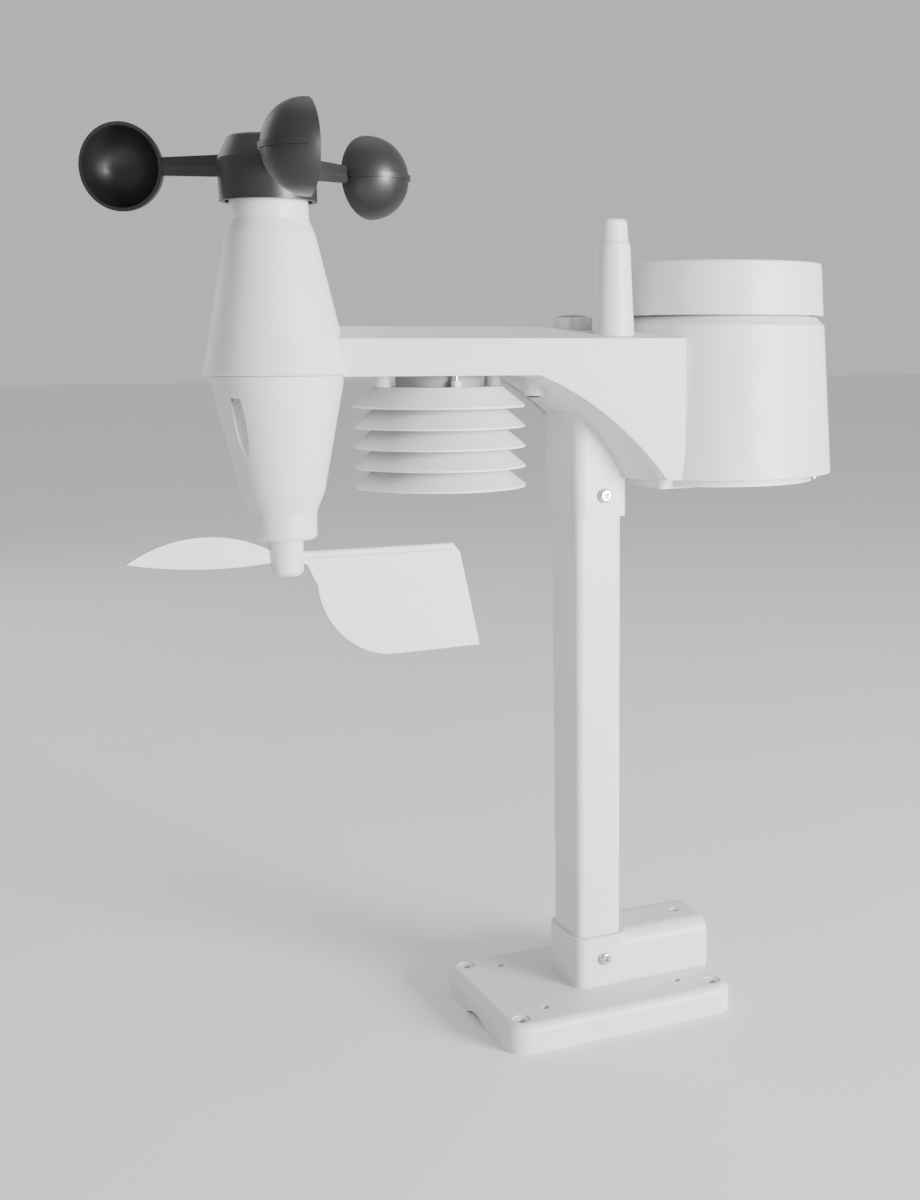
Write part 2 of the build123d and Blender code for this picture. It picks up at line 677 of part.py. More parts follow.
# rotor: hub with three arms
with BuildPart() as cup_hub:
    with BuildSketch(Plane.XZ):
        with BuildLine():
            Polyline(
                (WIND_X, 372.2),
                (WIND_X + 5.0, 372.2),
                (WIND_X + 5.0, 380.0),
                (WIND_X + 16.9, 378.4),
                (WIND_X + 16.9, 363.0),
                (WIND_X + 18.9, 363.0),
                (WIND_X + 18.9, 378.5),
                (WIND_X + 14.8, 386.2),
                (WIND_X + 13.6, 387.0),
                (WIND_X, 387.0),
                close=True,
            )
        make_face()
    revolve(axis=vertical_axis(WIND_X))
    for angle in CUP_ANGLES:
        for reach, half_h in ((18.0, 4.1), (46.0, 3.3)):
            heading = Vector(1, 0, 0).rotate(Axis.Z, angle)
            centre = Vector(WIND_X, 0, CUP_Z) + heading * reach
            across = Vector(0, 1, 0).rotate(Axis.Z, angle)
            with BuildSketch(Plane(origin=centre, x_dir=across, z_dir=heading)):
                Polygon(
                    (-3.9, 0),
                    (-2.7, half_h),
                    (-0.9, half_h),
                    (0.0, 0),
                    (-0.9, -half_h),
                    (-2.7, -half_h),
                    align=None,
                )
        loft(ruled=True)
    # the cups sit over the arms' ends
    with Locations((WIND_X, 0, CUP_Z)):
        with PolarLocations(CUP_CIRCLE_R, 3, CUP_ANGLES[0]):
            Sphere(CUP_R, mode=Mode.SUBTRACT)
    with Locations((WIND_X, 0, 370.0)):
        Cylinder(SHAFT_R, 14.4, align=(Align.CENTER, Align.CENTER, Align.MIN), mode=Mode.SUBTRACT)
    with Locations((WIND_X, 0, 384.4)):
        Cylinder(3.2, 5, align=(Align.CENTER, Align.CENTER, Align.MIN), mode=Mode.SUBTRACT)
save(cup_hub.part, "cup_hub")

for number, angle in enumerate(CUP_ANGLES, start=1):
    heading = Vector(1, 0, 0).rotate(Axis.Z, angle)
    facing = Vector(0, 1, 0).rotate(Axis.Z, angle)
    cup_centre = Vector(WIND_X, 0, CUP_Z) + heading * CUP_CIRCLE_R
    mouth = Plane(origin=cup_centre, x_dir=heading, z_dir=facing)
    with BuildPart() as wind_cup:
        with Locations(cup_centre):
            Sphere(CUP_R)
        # rib round the back of the bowl, clear of the arm
        with BuildSketch(Plane.XY.offset(CUP_Z - 1.0)):
            with Locations((cup_centre.X, cup_centre.Y)):
                Circle(CUP_R + 0.8)
        extrude(amount=2.0)
        split(bisect_by=mouth.offset(-4.4), keep=Keep.BOTTOM)
        with Locations(cup_centre):
            Sphere(CUP_R)
            Sphere(CUP_INNER_R, mode=Mode.SUBTRACT)
        split(bisect_by=mouth, keep=Keep.BOTTOM)
    save(wind_cup.part, f"wind_cup_{number}")

with BuildPart() as rotor_shaft:
    with Locations((WIND_X, 0, 322.0)):
        Cylinder(SHAFT_R, 384.4 - 322.0, align=(Align.CENTER, Align.CENTER, Align.MIN))
save(rotor_shaft.part, "rotor_shaft")

with BuildPart() as rotor_screw:
    with Locations((WIND_X, 0, 384.4)):
        Cylinder(2.8, 2.0, align=(Align.CENTER, Align.CENTER, Align.MIN))
    with BuildSketch(Plane.XY.offset(386.4)):
        with Locations((WIND_X, 0)):
            Rectangle(3.2, 0.8)
            Rectangle(0.8, 3.2)
    extrude(amount=-1.2, mode=Mode.SUBTRACT)
save(rotor_screw.part, "rotor_screw")

save(ring_magnet(323.0), "rotor_magnet")

# ---- vane ----
VANE_HUB_Z0 = 216.4
with BuildPart() as wind_vane:
    with BuildSketch(Plane.XZ):
        with BuildLine():
            Polyline(
                (WIND_X, VANE_HUB_Z0),
                (WIND_X + 5.6, VANE_HUB_Z0),
                (WIND_X + 6.8, VANE_HUB_Z0 + 1.4),
                (WIND_X + 7.3, VANE_TOP_Z),
                (WIND_X, VANE_TOP_Z),
                close=True,
            )
        make_face()
    revolve(axis=vertical_axis(WIND_X))
    # tail: a thin plate with a stiff upper edge
    with BuildSketch(Plane.XZ) as tail_outline:
        with BuildLine():
            Polyline((WIND_X + 5, 225.7), (WIND_X + 73.0, 225.5), (WIND_X + 76.2, 221.4), (WIND_X + 84.5, 180.0))
            Line((WIND_X + 84.5, 180.0), (WIND_X + 42.0, 179.3))
            ThreePointArc((WIND_X + 42.0, 179.3), (WIND_X + 21.4, 190.2), (WIND_X + 12.6, 211.0))
            Polyline((WIND_X + 12.6, 211.0), (WIND_X + 8.6, 220.0), (WIND_X + 5, 221.5), (WIND_X + 5, 225.7))
        make_face()
    extrude(amount=0.9, both=True)
    with BuildSketch(Plane.YZ.offset(WIND_X + 5)):
        with Locations((0, 224.0)):
            RectangleRounded(3.6, 3.3, 1.2)
    extrude(amount=67)
    # nose: a tapering blade that balances the tail
    with BuildSketch(Plane.XZ) as nose_outline:
        with BuildLine():
            ThreePointArc((WIND_X - 64.4, 224.6), (WIND_X - 44.0, 232.8), (WIND_X - 5.0, 226.0))
            Line((WIND_X - 5.0, 226.0), (WIND_X - 5.0, 222.2))
            ThreePointArc((WIND_X - 5.0, 222.2), (WIND_X - 44.0, 221.6), (WIND_X - 64.4, 224.6))
        make_face()
    extrude(amount=1.8, both=True)
    with Locations((WIND_X, 0, VANE_HUB_Z0)):
        Cylinder(3.1, 3.0, align=(Align.CENTER, Align.CENTER, Align.MIN), mode=Mode.SUBTRACT)
        Cylinder(SHAFT_R, 20, align=(Align.CENTER, Align.CENTER, Align.MIN), mode=Mode.SUBTRACT)
save(wind_vane.part, "wind_vane")

with BuildPart() as vane_shaft:
    with Locations((WIND_X, 0, VANE_HUB_Z0 + 3.0)):
        Cylinder(SHAFT_R, 261.8 - VANE_HUB_Z0 - 3.0, align=(Align.CENTER, Align.CENTER, Align.MIN))
save(vane_shaft.part, "vane_shaft")

with BuildPart() as vane_screw:
    with Locations((WIND_X, 0, VANE_HUB_Z0 + 1.2)):
        Cylinder(2.6, 1.8, align=(Align.CENTER, Align.CENTER, Align.MIN))
    with BuildSketch(Plane.XY.offset(VANE_HUB_Z0 + 1.2)):
        with Locations((WIND_X, 0)):
            Rectangle(3.0, 0.8)
            Rectangle(0.8, 3.0)
    extrude(amount=1.0, mode=Mode.SUBTRACT)
save(vane_screw.part, "vane_screw")

save(ring_magnet(257.8), "vane_magnet")

# =====================================================================
# Radiation shield
# =====================================================================
for index in range(LOUVRE_COUNT):
    rim_z = LOUVRE_TOP_RIM_Z - index * LOUVRE_PITCH
    top_z = rim_z + LOUVRE_RISE
    is_lowest = index == LOUVRE_COUNT - 1
    with BuildPart() as louvre:
        with BuildSketch(Plane.XZ):
            with BuildLine():
                Polyline(
                    (SHIELD_X + LOUVRE_INNER_R, top_z),
                    (SHIELD_X + 27.0, top_z),
                    (SHIELD_X + LOUVRE_RIM_R, rim_z + 0.8),
                    (SHIELD_X + LOUVRE_RIM_R, rim_z),
                    (SHIELD_X + 35.2, rim_z),
                    (SHIELD_X + 26.4, top_z - 1.5),
                    (SHIELD_X + LOUVRE_INNER_R, top_z - 1.5),
                    close=True,
                )
            make_face()
        revolve(axis=vertical_axis(SHIELD_X))
        if is_lowest:
            with BuildSketch(Plane.XY.offset(top_z - 1.5)):
                with Locations((SHIELD_X, 0)):
                    Circle(LOUVRE_INNER_R + 0.5)
                    with PolarLocations(12, 8):
                        SlotOverall(9, 2.6, mode=Mode.SUBTRACT)
            extrude(amount=1.5)
        # spacers down to the louvre below
        if not is_lowest:
            with BuildSketch(Plane.XY.offset(top_z - LOUVRE_PITCH)):
                with Locations(*SHIELD_SCREWS):
                    Circle(2.3)
            extrude(amount=LOUVRE_PITCH - 1.4)
        if index == 0:
            with BuildSketch(Plane.XY.offset(top_z - 0.6)):
                with Locations(*SHIELD_SCREWS[2:]):
                    Circle(2.1)
            extrude(amount=3.2)
        with BuildSketch(Plane.XY.offset(rim_z - LOUVRE_PITCH)):
            with Locations(*SHIELD_SCREWS):
                Circle(1.15)
        extrude(amount=30, mode=Mode.SUBTRACT)
    save(louvre.part, f"louvre_{index + 1}")

LOWEST_TOP_Z = LOUVRE_TOP_RIM_Z - (LOUVRE_COUNT - 1) * LOUVRE_PITCH + LOUVRE_RISE
with BuildPart() as shield_screws:
    with BuildSketch(Plane.XY.offset(LOWEST_TOP_Z - 1.5)):
        with Locations(*SHIELD_SCREWS):
            Circle(1.7)
    extrude(amount=-1.6)
    with BuildSketch(Plane.XY.offset(LOWEST_TOP_Z - 1.5)):
        with Locations(*SHIELD_SCREWS):
            Circle(1.05)
    extrude(amount=COVER_Z - LOWEST_TOP_Z + 1.5)
save(shield_screws.part, "shield_screws")

with BuildPart() as sensor_shroud:
    with BuildSketch(Plane.XY.offset(264.0)):
        with Locations((SHIELD_X, 0)):
            Circle(DRUM_R)
            Circle(DRUM_R - 1.6, mode=Mode.SUBTRACT)
    extrude(amount=COVER_Z - 264.0)
    with BuildSketch(Plane.XY.offset(264.0)):
        with Locations((SHIELD_X, 0)):
            with PolarLocations(DRUM_R, 8):
                Rectangle(8, 3.0)
    extrude(amount=18, mode=Mode.SUBTRACT)
save(sensor_shroud.part, "sensor_shroud")

with BuildPart() as thermo_hygro_board:
    with BuildSketch(Plane.YZ.offset(SHIELD_X - 0.8)):
        with Locations((0, 282.2)):
            Rectangle(12, 32.2)
    extrude(amount=1.6)
    with BuildSketch(Plane.YZ.offset(SHIELD_X + 0.8)):
        with Locations((0, 271)):
            Rectangle(5, 5)
        with Locations((0, 284)):
            Rectangle(4, 3)
    extrude(amount=1.4)
save(thermo_hygro_board.part, "thermo_hygro_board")

# =====================================================================
# Antenna, level, button and status light
# =====================================================================
with BuildPart() as antenna_cover:
    with BuildSketch(Plane.XZ.offset(-ANTENNA_Y)):
        with BuildLine():
            Polyline(
                (ANTENNA_X, 359.4),
                (ANTENNA_X + 5.0, 359.4),
                (ANTENNA_X + 5.9, 358.5),
                (ANTENNA_X + 6.5, 350.6),
                (ANTENNA_X + 7.3, 349.2),
                (ANTENNA_X + 9.1, 312.0),
                (ANTENNA_X + 9.1, 308.6),
                (ANTENNA_X + 11.3, 308.6),
                (ANTENNA_X + 11.3, 306.9),
                (ANTENNA_X + 7.3, 306.9),
                (ANTENNA_X + 5.5, 348.2),
                (ANTENNA_X + 4.7, 357.6),
                (ANTENNA_X, 357.6),
                close=True,
            )
        make_face()
    revolve(axis=vertical_axis(ANTENNA_X, ANTENNA_Y))
save(antenna_cover.part, "antenna_cover")

with BuildPart() as antenna_rod:
    with Locations((ANTENNA_X, ANTENNA_Y, 305.1)):
        Cylinder(3.0, 6.0, align=(Align.CENTER, Align.CENTER, Align.MIN))
        Cylinder(0.8, 48.0, align=(Align.CENTER, Align.CENTER, Align.MIN))
save(antenna_rod.part, "antenna_rod")

with BuildPart() as level_ring:
    with BuildSketch(Plane.XZ.offset(-LEVEL_Y)):
        with BuildLine():
            Polyline(
                (LEVEL_X, 309.6),
                (LEVEL_X + 11.0, 309.6),
                (LEVEL_X + 11.0, 311.2),
                (LEVEL_X + 9.3, 311.2),
                (LEVEL_X + 9.2, 319.5),
                (LEVEL_X + 8.7, 320.0),
                (LEVEL_X + 8.0, 320.0),
                (LEVEL_X + 8.0, 311.4),
                (LEVEL_X, 311.4),
                close=True,
            )
        make_face()
    revolve(axis=vertical_axis(LEVEL_X, LEVEL_Y))
    with BuildSketch(Plane.XY.offset(315.5)):
        with Locations((LEVEL_X, LEVEL_Y)):
            with PolarLocations(8.6, 4, 335):
                Rectangle(4, 1.6)
    extrude(amount=6, mode=Mode.SUBTRACT)
save(level_ring.part, "level_ring")

with BuildPart() as level_vial:
    with BuildSketch(Plane.XZ.offset(-LEVEL_Y)):
        with BuildLine():
            Polyline(
                (LEVEL_X, 311.4),
                (LEVEL_X + 7.8, 311.4),
                (LEVEL_X + 7.5, 320.2),
                (LEVEL_X + 5.6, 320.8),
                (LEVEL_X + 3.0, 321.2),
                (LEVEL_X, 321.2),
                close=True,
            )
        make_face()
    revolve(axis=vertical_axis(LEVEL_X, LEVEL_Y))
save(level_vial.part, "level_vial")

with BuildPart() as reset_button:
    with Locations((BUTTON_X, BUTTON_Y, BUTTON_FACE_Z)):
        Cylinder(2.5, 11.8, align=(Align.CENTER, Align.CENTER, Align.MIN))
    with Locations((BUTTON_X, BUTTON_Y, 298.6)):
        Cylinder(3.6, 1.2, align=(Align.CENTER, Align.CENTER, Align.MIN))
    fillet(reset_button.faces().sort_by(Axis.Z)[0].edges(), 0.5)
save(reset_button.part, "reset_button")

with BuildPart() as button_switch:
    with BuildSketch(Plane.XY.offset(300.9)):
        with Locations((BUTTON_X, BUTTON_Y)):
            Rectangle(6, 6)
    extrude(amount=2.6)
save(button_switch.part, "button_switch")

with BuildPart() as status_light:
    with BuildSketch(Plane.XY.offset(LIGHT_Z)):
        with Locations((LIGHT_X, LIGHT_Y)):
            SlotOverall(6.0, 2.2)
    extrude(amount=303.5 - LIGHT_Z)
save(status_light.part, "status_light")

with BuildPart() as main_circuit_board:
    with BuildSketch(Plane.XY.offset(303.5)):
        Polygon(
            (-102, -13),
            (-60, -17),
            (-10, -27),
            (10, -27),
            (10, 27),
            (-10, 27),
            (-60, 17),
            (-102, 13),
            align=None,
        )
    extrude(amount=1.6)
    with BuildSketch(Plane.XY.offset(305.1)):
        with Locations((-52, -2)):
            Rectangle(12, 12)
        with Locations((-78, 4)):
            Rectangle(9, 6)
        with Locations((-34, 8)):
            Rectangle(6, 4)
        with Locations((-22, -24)):
            Rectangle(9, 7)
    extrude(amount=1.5)
save(main_circuit_board.part, "main_circuit_board")

# =====================================================================
# Rain gauge
# =====================================================================
FUNNEL_TOP_Z = 334.0
FUNNEL_FOOT_Z = 305.0
with BuildPart() as rain_collector:
    with BuildSketch(Plane.XZ):
        with BuildLine():
            Polyline(
                (RAIN_X + COLLAR_R0, COLLAR_Z0),
                (RAIN_X + COLLAR_R1, COLLAR_Z1 - 0.6),
                (RAIN_X + COLLAR_R1 - 0.6, COLLAR_Z1),
                (RAIN_X + COLLAR_R1 - 1.4, COLLAR_Z1),
                (RAIN_X + COLLAR_R1 - 2.0, COLLAR_Z1 - 0.6),
                (RAIN_X + COLLAR_R1 - 1.8, FUNNEL_TOP_Z),
                (RAIN_X + 5.0, FUNNEL_FOOT_Z),
                (RAIN_X + 3.0, FUNNEL_FOOT_Z - 1.5),
                (RAIN_X + 3.0, 297.0),
                (RAIN_X + 4.8, 297.0),
                (RAIN_X + 4.8, FUNNEL_FOOT_Z - 2.2),
                (RAIN_X + 40.2, 328.3),
                (RAIN_X + 41.6, 312.0),
                (RAIN_X + 43.4, 312.0),
                (RAIN_X + 43.4, COLLAR_Z0 + 2.0),
                (RAIN_X + COLLAR_R0 - 2.0, COLLAR_Z0 + 2.0),
                (RAIN_X + COLLAR_R0 - 2.0, COLLAR_Z0),
                close=True,
            )
        make_face()
    revolve(axis=vertical_axis(RAIN_X))
save(rain_collector.part, "rain_collector")


def tipper_side(points):
    """Turn tipper points (y, z from the pivot) into sketch points at rest."""
    turned = [Vector(y, z, 0).rotate(Axis.Z, -TIP_ANGLE) for y, z in points]
    return [(point.X, point.Y + PIVOT_Z) for point in turned]


with BuildPart() as tipping_bucket:
    with BuildSketch(Plane.YZ.offset(RAIN_X)):
        Polygon(
            *tipper_side([(-32, 10), (0, 2), (32, 10), (32, 11.5), (8, 21), (0, 24), (-8, 21), (-32, 11.5)]),
            align=None,
        )
    extrude(amount=TIPPER_HALF_W, both=True)
    with BuildSketch(Plane.YZ.offset(RAIN_X)):
        Polygon(*tipper_side([(0.8, 3.8), (40, 13.6), (40, 40), (0.8, 40)]), align=None)
        Polygon(*tipper_side([(-0.8, 3.8), (-40, 13.6), (-40, 40), (-0.8, 40)]), align=None)
    extrude(amount=TIPPER_HALF_W - 1.5, both=True, mode=Mode.SUBTRACT)
    with BuildSketch(Plane.YZ.offset(RAIN_X)):
        with Locations((0, PIVOT_Z)):
            Circle(3.0)
    extrude(amount=TIPPER_HALF_W, both=True)
    with BuildSketch(Plane.YZ.offset(RAIN_X)):
        with Locations((0, PIVOT_Z)):
            Circle(AXLE_R)
    extrude(amount=TIPPER_HALF_W, both=True, mode=Mode.SUBTRACT)
save(tipping_bucket.part, "tipping_bucket")

with BuildPart() as tipper_axle:
    with BuildSketch(Plane.YZ.offset(RAIN_X)):
        with Locations((0, PIVOT_Z)):
            Circle(AXLE_R)
    extrude(amount=12.6, both=True)
save(tipper_axle.part, "tipper_axle")

magnet_y, magnet_z = tipper_side([(0, 14)])[0]
with BuildPart() as tipper_magnet:
    with BuildSketch(Plane.YZ.offset(RAIN_X - TIPPER_HALF_W)):
        with Locations((magnet_y, magnet_z)):
            Circle(2.2)
    extrude(amount=-1.4)
save(tipper_magnet.part, "tipper_magnet")

FRAME_Z = PAN_Z + 3.0
with BuildPart() as tipper_frame:
    with BuildSketch(Plane.XY.offset(FRAME_Z)):
        with Locations((RAIN_X, 0)):
            RectangleRounded(31, 62, 3)
    extrude(amount=2.0)
    for side in (-1, 1):
        with BuildSketch(Plane.YZ.offset(RAIN_X + side * 11.4)):
            with BuildLine():
                Line((-9, FRAME_Z), (-3.6, PIVOT_Z + 1))
                ThreePointArc((-3.6, PIVOT_Z + 1), (0, PIVOT_Z + 4.2), (3.6, PIVOT_Z + 1))
                Polyline((3.6, PIVOT_Z + 1), (9, FRAME_Z), (-9, FRAME_Z))
            make_face()
        extrude(amount=1.1, both=True)
    with BuildSketch(Plane.YZ.offset(RAIN_X)):
        with Locations((0, PIVOT_Z)):
            Circle(AXLE_R + 0.05)
    extrude(amount=14, both=True, mode=Mode.SUBTRACT)
    # two stops that the tipper lands on
    with BuildSketch(Plane.XY.offset(FRAME_Z)):
        with Locations((RAIN_X, -25), (RAIN_X, 25)):
            RectangleRounded(8, 5, 1)
    extrude(amount=PIVOT_Z + 1.6 - FRAME_Z)
    # slot that holds the switch board
    with BuildSketch(Plane.XY.offset(FRAME_Z)):
        with Locations((RAIN_X - 14.7, 0)):
            Rectangle(1.2, 20.2)
    extrude(amount=2.0, mode=Mode.SUBTRACT)
save(tipper_frame.part, "tipper_frame")

with BuildPart() as rain_switch_board:
    with BuildSketch(Plane.YZ.offset(RAIN_X - 15.2)):
        with Locations((0, FRAME_Z + 18.5)):
            Rectangle(20, 37)
    extrude(amount=1.0)
    with BuildSketch(Plane.XZ.offset(-7)):
        with Locations((RAIN_X - 13.3, PIVOT_Z + 14)):
            Circle(1.1)
    extrude(amount=14)
save(rain_switch_board.part, "rain_switch_board")

# =====================================================================
# Battery bay
# =====================================================================
BAY_TOP_Z = 306.8
CELL_Z0, CELL_Z1 = 254.1, 303.1
with BuildPart() as battery_box:
    with BuildSketch(Plane.XY.offset(FLOOR_TOP_Z)):
        with Locations((CELL_X, 0)):
            RectangleRounded(BAY_L + 3.2, BAY_W + 3.2, 2)
            Rectangle(BAY_L, BAY_W, mode=Mode.SUBTRACT)
    extrude(amount=BAY_TOP_Z - FLOOR_TOP_Z)
    with BuildSketch(Plane.XY.offset(BAY_TOP_Z - 1.4)):
        with Locations((CELL_X, 0)):
            RectangleRounded(BAY_L + 3.2, BAY_W + 3.2, 2)
    extrude(amount=1.4)
    # ribs between the cells
    with BuildSketch(Plane.XY.offset(FLOOR_TOP_Z)):
        with Locations((CELL_X, 0)):
            with GridLocations(BAY_L, CELL_Y[1] - CELL_Y[0], 2, 2):
                Rectangle(3.0, 0.9)
    extrude(amount=BAY_TOP_Z - FLOOR_TOP_Z - 1.0)
save(battery_box.part, "battery_box")

with BuildPart() as battery_cells:
    for number, cell_y in enumerate(CELL_Y):
        nub_up = number % 2 == 0
        with Locations((CELL_X, cell_y, CELL_Z0 + (0 if nub_up else 1.2))):
            Cylinder(CELL_R, CELL_Z1 - CELL_Z0 - 1.2, align=(Align.CENTER, Align.CENTER, Align.MIN))
        with Locations((CELL_X, cell_y, CELL_Z1 - 1.2 if nub_up else CELL_Z0)):
            Cylinder(2.7, 1.2, align=(Align.CENTER, Align.CENTER, Align.MIN))
save(battery_cells.part, "battery_cells")

with BuildPart() as battery_contacts:
    for cell_y in CELL_Y:
        with Locations((CELL_X, cell_y, BAY_TOP_Z - 1.4)):
            Box(11, 11, 0.4, align=(Align.CENTER, Align.CENTER, Align.MAX))
        with Locations((CELL_X, cell_y, BAY_TOP_Z - 1.8)):
            Cylinder(3.6, 1.8, align=(Align.CENTER, Align.CENTER, Align.MAX))
save(battery_contacts.part, "battery_contacts")

with BuildPart() as battery_door:
    with BuildSketch(Plane.XY.offset(DOOR_Z)):
        with Locations(frame_mid):
            margin = 2 * DOOR_MARGIN
            RectangleRounded(frame_x1 - frame_x0 - margin, frame_y1 - frame_y0 - margin, 2.1)
    extrude(amount=2.0)
    with BuildSketch(Plane.XY.offset(DOOR_Z + 2.0)):
        with Locations((CELL_X, 0)):
            RectangleRounded(BAY_L - 1.2, BAY_W - 1.2, 1)
    extrude(amount=2.6)
    with Locations((CELL_X, DOOR_SCREW_Y, DOOR_Z)):
        Cylinder(2.5, 1.4, align=(Align.CENTER, Align.CENTER, Align.MIN), mode=Mode.SUBTRACT)
        Cylinder(1.3, 6, align=(Align.CENTER, Align.CENTER, Align.MIN), mode=Mode.SUBTRACT)
save(battery_door.part, "battery_door")

with BuildPart() as battery_door_seal:
    with BuildSketch(Plane.XY.offset(DOOR_Z + 2.0)):
        with Locations((CELL_X, 0)):
            RectangleRounded(BAY_L + 2.0, BAY_W + 3.0, 1.5)
            RectangleRounded(BAY_L - 1.2, BAY_W - 1.2, 1, mode=Mode.SUBTRACT)
    extrude(amount=0.25)
save(battery_door_seal.part, "battery_door_seal")

with BuildPart() as battery_door_screw:
    with Locations((CELL_X, DOOR_SCREW_Y, DOOR_Z)):
        Cylinder(2.3, 1.4, align=(Align.CENTER, Align.CENTER, Align.MIN))
        Cylinder(1.0, 6.5, align=(Align.CENTER, Align.CENTER, Align.MIN))
    with BuildSketch(Plane.XY.offset(DOOR_Z)):
        with Locations((CELL_X, DOOR_SCREW_Y)):
            Rectangle(2.8, 0.7)
            Rectangle(0.7, 2.8)
    extrude(amount=0.8, mode=Mode.SUBTRACT)
save(battery_door_screw.part, "battery_door_screw")

with BuildPart() as door_contacts:
    for cell_y in CELL_Y:
        with Locations((CELL_X, cell_y, DOOR_Z + 4.6)):
            Box(11, 11, 0.4, align=(Align.CENTER, Align.CENTER, Align.MIN))
            Cylinder(3.0, 2.1, align=(Align.CENTER, Align.CENTER, Align.MIN))
save(door_contacts.part, "door_contacts")
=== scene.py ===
import json
import math

import bpy
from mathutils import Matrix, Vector


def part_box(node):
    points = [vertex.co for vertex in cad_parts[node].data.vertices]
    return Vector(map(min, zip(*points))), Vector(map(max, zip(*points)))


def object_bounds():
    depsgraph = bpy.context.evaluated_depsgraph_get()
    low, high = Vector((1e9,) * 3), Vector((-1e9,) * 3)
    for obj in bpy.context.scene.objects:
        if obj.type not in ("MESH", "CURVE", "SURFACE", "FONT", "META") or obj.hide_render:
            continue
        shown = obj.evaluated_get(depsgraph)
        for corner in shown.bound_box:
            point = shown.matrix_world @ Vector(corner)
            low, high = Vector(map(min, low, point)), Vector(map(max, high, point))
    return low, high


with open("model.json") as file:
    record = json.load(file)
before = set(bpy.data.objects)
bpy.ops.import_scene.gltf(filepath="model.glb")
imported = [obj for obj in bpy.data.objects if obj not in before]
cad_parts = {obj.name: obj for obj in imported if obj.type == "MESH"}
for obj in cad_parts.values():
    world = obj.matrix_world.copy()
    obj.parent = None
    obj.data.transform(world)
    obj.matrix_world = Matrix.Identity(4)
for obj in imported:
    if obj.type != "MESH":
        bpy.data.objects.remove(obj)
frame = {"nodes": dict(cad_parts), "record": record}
CAD_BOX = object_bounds()

# Camera, in the row frame, in metres and degrees.
CAMERA_PLACE = (-0.29572, -0.61221, 0.30631)
CAMERA_HEADING = 25.822
CAMERA_DOWN = 13.666
CAMERA_ROLL = 0.177
CAMERA_LENS = 45.216
CAMERA_SHIFT = (-0.10525, 0.09723)
SENSOR_WIDTH = 36
CLIP_START = 0.01

# Lamps: name, place and disc size in metres, power in watts. Each is aimed at the object's middle.
LAMPS = (
    ("key", (0.9, -1.6, 0.45), 0.8, 92.0),
    ("back", (-0.9, 1.3, 0.8), 1.2, 6.0),
    ("top", (0.1, 0.3, 1.9), 1.5, 3.0),
)
SKY_STRENGTH = 0.6
FLOOR_SIZE = 30

# Noise is spread over this middle part of its range.
NOISE_LOW = 0.3
NOISE_HIGH = 0.7

# Grain: noise scale of the cloudiness in colour and in gloss, and the strength of the bump.
CLOUD_SCALE = 22.0
GLOSS_SCALE = 60.0
GRAIN_STRENGTH = 0.35
MARK_SCALE = 900.0
MARK_DEPTH = 0.00002
TRACK_SCALE = 320.0

# The light band takes up this part of a cell's height.
BAND_END = 0.25
BAND_BLUR = 0.01

SMOOTH_ANGLE = 32.0

# A node whose finish differs from the one its slot names: the sensor shroud gets a darker grey, painted
# shade for the shadow on the drum.
PAINTED_SHADE_FINISH = {"sensor_shroud": "shroud"}


# ---------------------------------------------------------------- materials

def new_material(name):
    """A material with an empty node tree, and its shader joined to its output."""
    material = bpy.data.materials.new(name)
    material.use_nodes = True
    tree = material.node_tree
    tree.nodes.clear()
    output = tree.nodes.new("ShaderNodeOutputMaterial")
    shader = tree.nodes.new("ShaderNodeBsdfPrincipled")
    tree.links.new(shader.outputs["BSDF"], output.inputs["Surface"])
    return material, tree, shader


def noise(tree, scale, detail=3.0, stretch=(1.0, 1.0, 1.0)):
    """Noise in the object's own space, longer along an axis where stretch is small."""
    place = tree.nodes.new("ShaderNodeTexCoord")
    mapping = tree.nodes.new("ShaderNodeMapping")
    mapping.inputs["Scale"].default_value = stretch
    texture = tree.nodes.new("ShaderNodeTexNoise")
    texture.inputs["Scale"].default_value = scale
    texture.inputs["Detail"].default_value = detail
    tree.links.new(place.outputs["Object"], mapping.inputs["Vector"])
    tree.links.new(mapping.outputs["Vector"], texture.inputs["Vector"])
    return texture.outputs["Fac"]


def ramp(tree, value, low, high, start=NOISE_LOW, end=NOISE_HIGH):
    """value spread between two colours."""
    node = tree.nodes.new("ShaderNodeValToRGB")
    node.color_ramp.elements[0].position = start
    node.color_ramp.elements[0].color = (*low, 1)
    node.color_ramp.elements[1].position = end
    node.color_ramp.elements[1].color = (*high, 1)
    tree.links.new(value, node.inputs["Fac"])
    return node.outputs["Color"]


def spread(tree, value, low, high):
    """value mapped to a range, for roughness."""
    node = tree.nodes.new("ShaderNodeMapRange")
    node.inputs["From Min"].default_value = NOISE_LOW
    node.inputs["From Max"].default_value = NOISE_HIGH
    node.inputs["To Min"].default_value = low
    node.inputs["To Max"].default_value = high
    tree.links.new(value, node.inputs["Value"])
    return node.outputs["Result"]


def bump(tree, shader, height, strength, distance):
    """height raised on the surface, up to distance in metres."""
    node = tree.nodes.new("ShaderNodeBump")
    node.inputs["Strength"].default_value = strength
    node.inputs["Distance"].default_value = distance
    tree.links.new(height, node.inputs["Height"])
    tree.links.new(node.outputs["Normal"], shader.inputs["Normal"])


def plastic(name, dark, light, roughness, grain, grain_depth, coat=0.0):
    """Moulded plastic: a fine spark grain, faint cloudiness in the colour and in the gloss."""
    material, tree, shader = new_material(name)
    clouds = noise(tree, CLOUD_SCALE, 4.0)
    tree.links.new(ramp(tree, clouds, dark, light), shader.inputs["Base Color"])
    tree.links.new(spread(tree, noise(tree, GLOSS_SCALE), *roughness), shader.inputs["Roughness"])
    shader.inputs["Coat Weight"].default_value = coat
    shader.inputs["Coat Roughness"].default_value = 0.15
    bump(tree, shader, noise(tree, grain, 2.0), GRAIN_STRENGTH, grain_depth)
    return material


